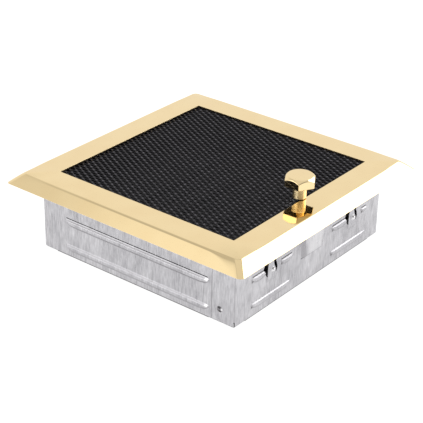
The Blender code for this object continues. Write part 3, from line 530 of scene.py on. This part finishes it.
def hole_outline():
    """(x, y, tilt) round a lozenge-shaped hole; its two sides lie at different heights."""
    points = []
    for k in range(HOLE_POINTS):
        turn = 2 * math.pi * k / HOLE_POINTS + math.pi / 2
        x, y = math.cos(turn), math.sin(turn)
        scale = (abs(x) ** 1.35 + abs(y) ** 1.35) ** (-1 / 1.35)
        points.append((x * scale, y * scale, -x * scale))
    return points


def cell_outline():
    """The lozenge shared with the neighbouring cells, sampled at the same number of places as the hole."""
    corners = ((0, 1), (-1, 0), (0, -1), (1, 0))
    points = []
    for (ax, ay), (bx, by) in zip(corners, corners[1:] + corners[:1]):
        points += [(ax + (bx - ax) * k / 3, ay + (by - ay) * k / 3) for k in range(3)]
    return points


def expanded_mesh(black):
    """Lozenge cells whose rounded strands all tilt alike, as slit and stretched sheet does."""
    bm = bmesh.new()
    made = {}
    middle = MESH_TOP - STRAND_TILT - STRAND_THICK / 2
    half = STRAND_THICK / 2
    edge, holes = cell_outline(), hole_outline()
    upper = ((STRAND_ROUND, half), (0.3 * STRAND_ROUND, half - 0.3 * STRAND_ROUND),
             (0.0, half - STRAND_ROUND))
    rounding = upper + tuple((back, -rise) for back, rise in reversed(upper))

    def shared(x, y, z):
        key = (round(x / PITCH_X * 12), round(y / PITCH_Y * 12), z > middle)
        if key not in made:
            made[key] = bm.verts.new((x, y, z))
        return made[key]

    across, along = int(MESH_REACH / PITCH_X * 2), int(MESH_REACH / PITCH_Y * 2)
    for i in range(-across, across + 1):
        for j in range(-along, along + 1):
            x, y = i * PITCH_X / 2, j * PITCH_Y / 2
            if (i + j) % 2 or math.hypot(x - KNOB_X, y - KNOB_Y) < ROD_CLEAR:
                continue
            rings = [[shared(x + u * PITCH_X / 2, y + v * PITCH_Y / 2, middle + half) for u, v in edge]]
            for back, rise in rounding:
                rings.append([bm.verts.new((x + u * (HOLE_HALF_X + back), y + v * (HOLE_HALF_Y + back),
                                            middle + rise + w * STRAND_TILT)) for u, v, w in holes])
            rings.append([shared(x + u * PITCH_X / 2, y + v * PITCH_Y / 2, middle - half) for u, v in edge])
            bridge(bm, rings, closed=False)
    close_borders(bm)
    finish_piece("expanded_mesh", bm, black, "frame", ["mesh_panel"])


def close_borders(bm):
    """Joins the top and bottom skins of a sheet along its open edges."""
    bmesh.ops.bridge_loops(bm, edges=[edge for edge in bm.edges if edge.is_boundary])


# Knob

HEAD_LOW, HEAD_CORNER, HEAD_ROUND = 57.9 * MM, 9.8 * MM, 0.35 * MM
STEM_RADIUS, BORE_RADIUS, BORE_TOP = 4.0 * MM, 2.8 * MM, 58.5 * MM
GROOVE_PITCH, GROOVE_DEPTH, GROOVE_STEPS = 0.3 * MM, 0.04 * MM, 8
CHAMFER_FROM = 7.65 * MM
SIDE_STEPS, TURN_STEPS = 14, 4


def hexagon_ring():
    """(radius, angle) round a hexagon with slightly rounded corners, one corner towards -Y."""
    points = []
    middle = HEAD_CORNER - HEAD_ROUND / math.cos(math.pi / 6)
    apothem = HEAD_CORNER * math.cos(math.pi / 6)
    for k in range(6):
        turn = k * math.pi / 3 - math.pi / 2
        centre = (middle * math.cos(turn), middle * math.sin(turn))
        points += arc(centre, HEAD_ROUND, turn - math.pi / 6, turn + math.pi / 6, TURN_STEPS)
        face = turn + math.pi / 6
        reach = middle * math.sin(math.pi / 6)
        for step in range(1, SIDE_STEPS):
            slide = -reach + 2 * reach * step / SIDE_STEPS
            points.append((apothem * math.cos(face) - slide * math.sin(face),
                           apothem * math.sin(face) + slide * math.cos(face)))
    return [(math.hypot(x, y), math.atan2(y, x)) for x, y in points]


def turning_marks(low, high):
    """(radius, height) up the stem, whose lathe grooves draw each reflection out into an upright stripe."""
    grooves = round((high - low) / GROOVE_PITCH)
    steps = grooves * GROOVE_STEPS
    levels = []
    for step in range(steps + 1):
        dip = (1 - math.cos(2 * math.pi * step / GROOVE_STEPS)) / 2
        levels.append((STEM_RADIUS - GROOVE_DEPTH * dip, low + (high - low) * step / steps))
    return levels


def knob_levels(radius, top):
    """(radius, height) from the blind bore down round the stem, up the head's side and over its chamfer."""
    side_top = top - (radius - CHAMFER_FROM)
    soft = 0.18 * MM
    under = radius - 0.35 * MM
    return [
        (0.02 * MM, BORE_TOP), (BORE_RADIUS - soft, BORE_TOP), (BORE_RADIUS, BORE_TOP - soft),
        (BORE_RADIUS, KNOB_LOW.z + 0.3 * MM), (BORE_RADIUS + 0.3 * MM, KNOB_LOW.z),
        (STEM_RADIUS - 0.35 * MM, KNOB_LOW.z), (STEM_RADIUS - 0.1 * MM, KNOB_LOW.z + 0.1 * MM),
        *turning_marks(KNOB_LOW.z + 0.35 * MM, HEAD_LOW - 0.4 * MM),
        (STEM_RADIUS + 0.12 * MM, HEAD_LOW - 0.12 * MM), (STEM_RADIUS + 0.4 * MM, HEAD_LOW),
        (under - soft, HEAD_LOW), (under, HEAD_LOW + 0.05 * MM), (radius, HEAD_LOW + 0.4 * MM),
        (radius, HEAD_LOW + 0.6 * MM), (radius, side_top - 2 * soft), (radius, side_top - soft / 2),
        (radius - soft / 2, side_top + soft / 2), (radius - 1.5 * soft, side_top + 1.5 * soft),
        (CHAMFER_FROM + soft, top - soft), (CHAMFER_FROM - soft / 2, top - soft / 8),
        (CHAMFER_FROM - 2 * soft, top), (0.02 * MM, top),
    ]


def hex_knob(brass):
    """The knob, swept round its own hexagonal outline."""
    bm = bmesh.new()
    ring = hexagon_ring()
    columns = [knob_levels(radius, KNOB_HIGH.z) for radius, _ in ring]
    loops = []
    for level in range(len(columns[0])):
        loop = []
        for column, (_, angle) in zip(columns, ring):
            radius, z = column[level]
            x, y = KNOB_X + radius * math.cos(angle), KNOB_Y + radius * math.sin(angle)
            loop.append(bm.verts.new((x, y, z)))
        loops.append(loop)
    bridge(bm, loops, closed=False)
    bm.faces.new(loops[0][::-1])
    bm.faces.new(loops[-1])
    finish_piece("hex_knob_turned", bm, brass, "knob", ["hex_knob"], sharp=24)


# Mounting frame

FRAME_HALF, FRAME_SHEET, FOLD_RADIUS = 72.3 * MM, 0.8 * MM, 1.2 * MM
LAP_END, JOGGLE_START, LEG_END = -56.4 * MM, 55.8 * MM, 70.4 * MM
LAP_STEP, BOTTOM_FOLD = 1.1 * MM, 0.75 * MM
FLANGE = 8.0 * MM
BEAD_ABOVE, BEAD_BELOW, BEAD_NOSE = 2.2 * MM, 2.7 * MM, 7.0 * MM
SIDE_RAISE, SIDE_TOP = 1.0 * MM, 1.5 * MM
KNOB_RAISE, KNOB_TOP = 0.8 * MM, 1.0 * MM
SLIT_HEIGHT = 0.45 * MM
SIDE_BEADS = ((-54.3 * MM, 54.3 * MM, 6.3 * MM), (-54.3 * MM, 54.3 * MM, 23.0 * MM))
KNOB_BEADS = ((-57.6 * MM, -20.4 * MM, 6.7 * MM), (20.4 * MM, 57.6 * MM, 6.7 * MM),
              (-57.6 * MM, -43.6 * MM, 23.0 * MM), (-30.4 * MM, -18.8 * MM, 23.0 * MM),
              (20.4 * MM, 37.2 * MM, 23.0 * MM), (51.4 * MM, 57.8 * MM, 23.0 * MM))
SLIT_LOW = 25.25 * MM
PAD_HALF, PAD_BOTTOM, PAD_RAISE, PAD_SLOPE = 11.2 * MM, 16.9 * MM, 2.4 * MM, 2.4 * MM
PAD_FOOT, PAD_CLIMB = 2.5 * MM, 10.0 * MM
TONGUES = (-40.4 * MM, 40.4 * MM)
TONGUE_BOW, TONGUE_LEFT, TONGUE_RIGHT = 0.7 * MM, -2.9 * MM, 4.6 * MM
TONGUE_TOP = 44.0 * MM
DIMPLE_AT, DIMPLE_Z, DIMPLE_RADIUS, DIMPLE_RAISE = 1.4 * MM, 23.6 * MM, 1.9 * MM, 1.4 * MM
SLOT_ROOT = 20.0 * MM
# Slot edges beside a tongue's middle line, at these heights
SLOT_LEVELS = (20.0, 21.0, 22.6, 24.5, 26.0, 28.6, 47.0)
SLOT_EDGES = (
    (-3.3, -3.6, -4.3, -5.6, -6.3, -5.0, -4.6), (-2.9, -2.9, -2.9, -2.9, -2.8, -2.4, -2.3),
    (5.6, 5.4, 4.8, 3.6, 2.9, 2.4, 2.3), (6.0, 6.4, 7.0, 6.6, 6.1, 4.6, 4.3),
)
CLINCH_AT, CLINCH_Z, CLINCH_RADIUS, CLINCH_DEPTH = -62.1 * MM, 8.5 * MM, 2.0 * MM, 1.6 * MM
RELIEF_TOP = 3.65 * MM


def smooth(t):
    """An S-curve from 0 to 1."""
    t = min(max(t, 0.0), 1.0)
    return t * t * (3 - 2 * t)


def spaced(low, high, fine_at, fine=0.4 * MM, coarse=2.0 * MM, reach=3.0 * MM):
    """Lines from low to high, close together near the given places."""
    lines = [low]
    while lines[-1] < high - 1e-9:
        near = any(a - reach <= lines[-1] <= b + reach for a, b in fine_at)
        lines.append(min(lines[-1] + (fine if near else coarse), high))
    return lines


def bead_height(along, z, beads, rise, top):
    """Ribs with a straight top edge and round noses."""
    total = 0.0
    for start, end, level in beads:
        past = max(start + BEAD_NOSE - along, along - end + BEAD_NOSE, 0.0) / BEAD_NOSE
        if past >= 1.0:
            continue
        nose = math.sqrt(1.0 - past * past)
        crest = level + BEAD_ABOVE - top
        if z >= crest:
            total += rise * nose ** 0.5 * smooth((level + BEAD_ABOVE - z) / top)
        else:
            depth = (crest - z) / ((crest - level + BEAD_BELOW) * nose ** 1.4)
            total += rise * nose ** 0.5 * smooth((1.0 - depth) * 1.6)
    return total


def over_slit(along, z, beads):
    """The upper ribs are lanced: a fine slit runs along their top edge."""
    return SLIT_LOW - 1e-6 <= z < SLIT_LOW + SLIT_HEIGHT - 1e-6 and any(
        start + 0.8 * MM < along < end - 0.8 * MM for start, end, level in beads if level > 20 * MM)


def pad_height(x, z):
    """The raised pad, whose ends slope more gently towards its foot."""
    climb = min(max((z - PAD_BOTTOM) / PAD_CLIMB, 0.0), 1.0)
    side = smooth((PAD_HALF - abs(x)) / (PAD_SLOPE * (1.9 - 1.1 * climb)))
    foot = min(max((z - PAD_BOTTOM) / PAD_FOOT, 0.0), 1.0)
    corner = smooth((PAD_HALF - abs(x) + (z - PAD_BOTTOM) * 0.45) / (3.0 * MM))
    return PAD_RAISE * side * foot * corner


def tongue_height(x, z):
    """A tongue springs slightly outwards and carries a round dimple."""
    raised = 0.0
    for middle in TONGUES:
        across = min(x - middle - TONGUE_LEFT, TONGUE_RIGHT - x + middle)
        bow = smooth(across / (0.8 * MM) + 1.0) * smooth((z - 15.0 * MM) / (4 * MM))
        dimple = math.hypot(x - middle - DIMPLE_AT, z - DIMPLE_Z) / DIMPLE_RADIUS
        raised += TONGUE_BOW * bow + DIMPLE_RAISE * smooth(1.5 - 1.5 * dimple)
    return raised


def knob_wall_height(x, z):
    return bead_height(x, z, KNOB_BEADS, KNOB_RAISE, KNOB_TOP) + pad_height(x, z) + tongue_height(x, z)


def fold_in(z):
    """How far the wall has turned inwards at its bottom fold."""
    return BOTTOM_FOLD - math.sqrt(max(BOTTOM_FOLD ** 2 - max(BOTTOM_FOLD - z, 0.0) ** 2, 0.0))


def clinch_height(y, z):
    """The round dent that clinches the lap joint."""
    reach = math.hypot(y - CLINCH_AT, z - CLINCH_Z) / CLINCH_RADIUS
    return -CLINCH_DEPTH * smooth((1.0 - reach) * 2.4)


def slot_edge(edge, z):
    """Interpolated distance of a slot's edge from its tongue's middle line."""
    level = min(max(z / MM, SLOT_LEVELS[0]), SLOT_LEVELS[-1])
    return float(np.interp(level, SLOT_LEVELS, SLOT_EDGES[edge])) * MM


def knob_wall_columns():
    """Functions of height that give each column's place, and the column gaps that the slots open."""
    columns, slots = [], []
    marks = [(end, end) for bead in KNOB_BEADS for end in bead[:2]]
    marks += [(-PAD_HALF, -PAD_HALF), (PAD_HALF, PAD_HALF)]
    low = -FRAME_HALF + FOLD_RADIUS
    for middle in TONGUES:
        start, end = middle - 12 * MM, middle + 11 * MM
        columns += [lambda z, x=x: x for x in spaced(low, start, marks)[:-1]]
        edges = [lambda z, m=middle, e=e: m + slot_edge(e, z) for e in range(4)]
        anchors = [lambda z, x=start: x] + edges + [lambda z, x=end: x]
        for first, second, steps in zip(anchors, anchors[1:], (10, 1, 16, 1, 12)):
            if steps == 1:
                slots.append(len(columns))
            columns += [lambda z, a=first, b=second, t=i / steps: a(z) + (b(z) - a(z)) * t
                        for i in range(steps)]
        low = end
    columns += [lambda z, x=x: x for x in spaced(low, FRAME_HALF - FOLD_RADIUS, marks)]
    return columns, slots


def frame_rows():
    """Heights of the sheet's rows, close together over the beads and the pad."""
    return spaced(0.0, 30 * MM, [(2 * MM, 11 * MM), (15 * MM, 29 * MM)], 0.25 * MM, 0.8 * MM, 0) + [
        z * MM for z in (31, 33, 35, 37, 39, 41, 43, 44, 45, 46, 47)]


def folded_corner(centre, start, rows):
    """Columns round a folded corner, from the angle at which it starts."""
    columns = []
    for step in range(1, 8):
        angle = start + math.pi / 2 * step / 8
        x = centre + FOLD_RADIUS * math.cos(angle)
        y = -FRAME_HALF + FOLD_RADIUS * (1 + math.sin(angle))
        columns.append([((x, y, z), (-math.cos(angle), -math.sin(angle), 0)) for z in rows])
    return columns


def side_wall(rows):
    """Columns of the side wall, which steps inwards near its end to lie under the other half."""
    ends = [(bead[0] + 2 * MM, bead[0] + 2 * MM) for bead in SIDE_BEADS]
    ends += [(bead[1] - 2 * MM, bead[1] - 2 * MM) for bead in SIDE_BEADS] + [(JOGGLE_START, JOGGLE_START)]
    columns = []
    for y in spaced(-FRAME_HALF + FOLD_RADIUS, LEG_END, ends):
        wall = FRAME_HALF - LAP_STEP * smooth((y - JOGGLE_START) / (1.2 * MM))
        columns.append([((wall + bead_height(y, z, SIDE_BEADS, SIDE_RAISE, SIDE_TOP), y, z), (-1, 0, 0))
                        for z in rows])
    return columns


def frame_half_grid(rows):
    """For each column of the folded sheet: outer points, inward offsets, and which gaps the slots open."""
    lap = reversed(spaced(-FRAME_HALF + FOLD_RADIUS, LAP_END, [(CLINCH_AT, CLINCH_AT)],
                          0.3 * MM, 1.2 * MM, 2.4 * MM))
    grid = [[((-FRAME_HALF - clinch_height(y, z), y, z), (1, 0, 0)) for z in rows] for y in lap]
    grid += folded_corner(-FRAME_HALF + FOLD_RADIUS, math.pi, rows)
    relief = len(grid) - 5
    columns, gaps = knob_wall_columns()
    slots = [len(grid) + k for k in gaps]
    grid += [[((x(z), -FRAME_HALF - knob_wall_height(x(z), z), z), (0, 1, 0)) for z in rows] for x in columns]
    grid += folded_corner(FRAME_HALF - FOLD_RADIUS, 1.5 * math.pi, rows)
    grid += side_wall(rows)
    return grid, slots, relief


def is_open(column, x_middle, z_low, slots):
    """Whether a quad of the knob wall lies in a slot, in a slit or above a tongue."""
    if column in slots and z_low >= SLOT_ROOT - 1e-6:
        return True
    if over_slit(x_middle, z_low, KNOB_BEADS):
        return True
    return z_low >= TONGUE_TOP - 1e-6 and any(-3.4 * MM < x_middle - m < 3.4 * MM for m in TONGUES)


def is_gone(grid, i, j, slots, relief):
    """Whether the quad at a column and row is cut away."""
    (x, y, z), inward = grid[i][j]
    next_x, next_y, _ = grid[i + 1][j][0]
    if relief - 1 <= i <= relief and z < RELIEF_TOP:
        return True
    if inward[1] == 1 and is_open(i, (x + next_x) / 2, z, slots):
        return True
    return inward[0] == -1 and over_slit((y + next_y) / 2, z, SIDE_BEADS)


def thicken(bm, outer, inner, cells):
    """Closes a sheet given as matching outer and inner points and the quads it keeps."""
    borders = {}
    for cell in cells:
        bm.faces.new([outer[k] for k in cell])
        bm.faces.new([inner[k] for k in reversed(cell)])
        for a, b in zip(cell, cell[1:] + cell[:1]):
            if (b, a) in borders:
                del borders[b, a]
            else:
                borders[a, b] = True
    for a, b in borders:
        bm.faces.new((outer[b], outer[a], inner[a], inner[b]))


def frame_half(name, node_name, turn, zinc):
    """One folded half: a lap strip, a knob wall and a side wall, turned about the upright axis."""
    bm = bmesh.new()
    rows = frame_rows()
    grid, slots, relief = frame_half_grid(rows)
    spin = Matrix.Rotation(turn, 3, "Z")
    outer, inner, cells = {}, {}, []
    for i in range(len(grid) - 1):
        for j in range(len(rows) - 1):
            if not is_gone(grid, i, j, slots, relief):
                cells.append(((i, j), (i + 1, j), (i + 1, j + 1), (i, j + 1)))
    for key in {key for cell in cells for key in cell}:
        point, inward = grid[key[0]][key[1]]
        turned_in = Vector(inward) * fold_in(point[2])
        outer[key] = bm.verts.new(spin @ (Vector(point) + turned_in))
        inner[key] = bm.verts.new(spin @ (Vector(point) + Vector(inward) * FRAME_SHEET))
    thicken(bm, outer, inner, cells)
    add_flanges(bm, spin)
    finish_piece(name, bm, zinc, "frame", [node_name], sharp=40)


def add_flanges(bm, spin):
    """The two bottom flanges, folded in from the knob wall and the side wall."""
    edge = FRAME_HALF - FRAME_SHEET / 2
    inner = edge - FLANGE
    for outline in (
        [(-62 * MM, -edge), (62 * MM, -edge), (62 * MM, -inner - 1 * MM), (61 * MM, -inner),
         (-61 * MM, -inner), (-62 * MM, -inner - 1 * MM)],
        [(edge, -62 * MM), (edge, 54 * MM), (inner + 1 * MM, 54 * MM), (inner, 53 * MM),
         (inner, -61 * MM), (inner + 1 * MM, -62 * MM)],
    ):
        lower = [bm.verts.new(spin @ Vector((x, y, 0.0))) for x, y in outline]
        upper = [bm.verts.new(spin @ Vector((x, y, FRAME_SHEET))) for x, y in outline]
        bm.faces.new(lower)
        bm.faces.new(upper)
        for k in range(len(outline)):
            j = (k + 1) % len(outline)
            bm.faces.new((lower[k], lower[j], upper[j], upper[k]))


# Light and floor

# Room brightness by the height of a ray, from level (0) to straight up (1)
ROOM_TONES = ((0.0, 0.97), (0.50, 0.97), (0.656, 0.83), (0.735, 0.78), (0.79, 0.62), (0.855, 0.62),
              (0.9, 0.84), (1.0, 0.84))
# Patches in the room: azimuth, elevation, full inside and gone outside (degrees), amount
CARD = 160, 20, 25, 33, 1.1
GLOW = 133, 49, 2, 12, 0.33
DARK_SIDE = -128, 15, 15, 60, -0.55
KEY_WAY, KEY_DISTANCE, KEY_SIZE, KEY_RADIANCE = (0.74, -0.33, 0.56), 2.2, 1.8, 2.5
TARGET = Vector((0, 0, 0.03))
FLOOR_SIZE, FLOOR_DROP, FLOOR_GLOW = 8.0, 0.2 * MM, 0.95
FLOOR_GREY = (0.2, 0.2, 0.2, 1)


def area_light(name, towards, distance, size, radiance):
    """A square soft light that shows the given radiance to a mirror."""
    data = bpy.data.lights.new(name, "AREA")
    data.shape = "SQUARE"
    data.size = size
    data.energy = radiance * size * size * math.pi
    light = bpy.data.objects.new(name, data)
    bpy.context.scene.collection.objects.link(light)
    way = Vector(towards).normalized()
    light.location = TARGET + way * distance
    light.rotation_euler = way.to_track_quat("Z", "Y").to_euler()


def lobe(tree, ray, azimuth, elevation, inner, outer, amount):
    """A soft round patch of light of the given amount, full inside one angle and gone outside the other."""
    turn, rise, inner, outer = (math.radians(angle) for angle in (azimuth, elevation, inner, outer))
    dot = node(tree, "ShaderNodeVectorMath", operation="DOT_PRODUCT")
    tree.links.new(ray, dot.inputs[0])
    level = math.cos(rise)
    dot.inputs[1].default_value = (math.cos(turn) * level, math.sin(turn) * level, math.sin(rise))
    patch = node(tree, "ShaderNodeMapRange", interpolation_type="SMOOTHSTEP")
    ends = ("From Min", math.cos(outer)), ("From Max", math.cos(inner)), ("To Min", 0.0), ("To Max", amount)
    for key, number in ends:
        patch.inputs[key].default_value = number
    tree.links.new(dot.outputs["Value"], patch.inputs["Value"])
    return patch.outputs["Result"]


def world_light():
    """A pale room, dimmer overhead, with one soft card, a small glow and a darker side."""
    world = bpy.data.worlds.new("studio")
    bpy.context.scene.world = world
    world.use_nodes = True
    tree = world.node_tree
    place = node(tree, "ShaderNodeTexCoord")
    split = node(tree, "ShaderNodeSeparateXYZ")
    tree.links.new(place.outputs["Generated"], split.inputs["Vector"])
    total = ramp(tree, split.outputs["Z"], *((height, (tone, tone, tone)) for height, tone in ROOM_TONES))
    for patch in (CARD, GLOW, DARK_SIDE):
        total = math_node(tree, "ADD", total, lobe(tree, place.outputs["Generated"], *patch))
    tree.links.new(total, tree.nodes["Background"].inputs["Strength"])
    tree.nodes["Background"].inputs["Color"].default_value = (1, 1, 1, 1)


def floor():
    """A pale sheet that glows a little, except in the shade inside the frame's walls."""
    bpy.ops.mesh.primitive_plane_add(size=FLOOR_SIZE)
    plane = bpy.context.object
    plane.name = "studio_floor"
    plane.location.z = -FLOOR_DROP
    material, tree, shader = new_material("pale_floor")
    shader.inputs["Base Color"].default_value = FLOOR_GREY
    shader.inputs["Roughness"].default_value = 0.9
    shader.inputs["Specular IOR Level"].default_value = 0.1
    shader.inputs["Emission Color"].default_value = (1, 1, 1, 1)
    x, y, _ = parts_of(tree, "Object")
    away = math_node(tree, "MAXIMUM", math_node(tree, "ABSOLUTE", x), math_node(tree, "ABSOLUTE", y))
    glow = spread(tree, away, 0.0, FLOOR_GLOW, FRAME_HALF - 4 * MM, FRAME_HALF - 3 * MM)
    tree.links.new(glow, shader.inputs["Emission Strength"])
    plane.data.materials.append(material)


def dress(materials):
    """Carried-over CAD pieces get their finish by the record's slot."""
    slots = {item["node"]: item["material_slot"] for item in frame["record"]["subparts"]}
    for name, thing in nodes.items():
        for place in thing.material_slots:
            place.material = materials[slots[name]]


make_camera()
bpy.context.scene.view_settings.view_transform = "Standard"
materials = {
    "polished_brass": polished_brass("polished_brass", False),
    "mesh_black": black_paint("mesh_black", MESH_PAINT, 0.3, 0.2, MESH_BOND_HIGHLIGHT),
    "louvre_steel": black_paint("louvre_black", LOUVRE_PAINT, 0.5, 0.4),
    "galvanised": galvanised(),
    "zinc_plate": zinc_plate(),
    "nylon": nylon(),
}
dress(materials)
front_plate(polished_brass("pressed_brass", True))
expanded_mesh(materials["mesh_black"])
hex_knob(materials["polished_brass"])
frame_half("mounting_frame_front_pressed", "mounting_frame_front", 0.0, materials["galvanised"])
frame_half("mounting_frame_rear_pressed", "mounting_frame_rear", math.pi, materials["galvanised"])
world_light()
area_light("key", KEY_WAY, KEY_DISTANCE, KEY_SIZE, KEY_RADIANCE)
floor()
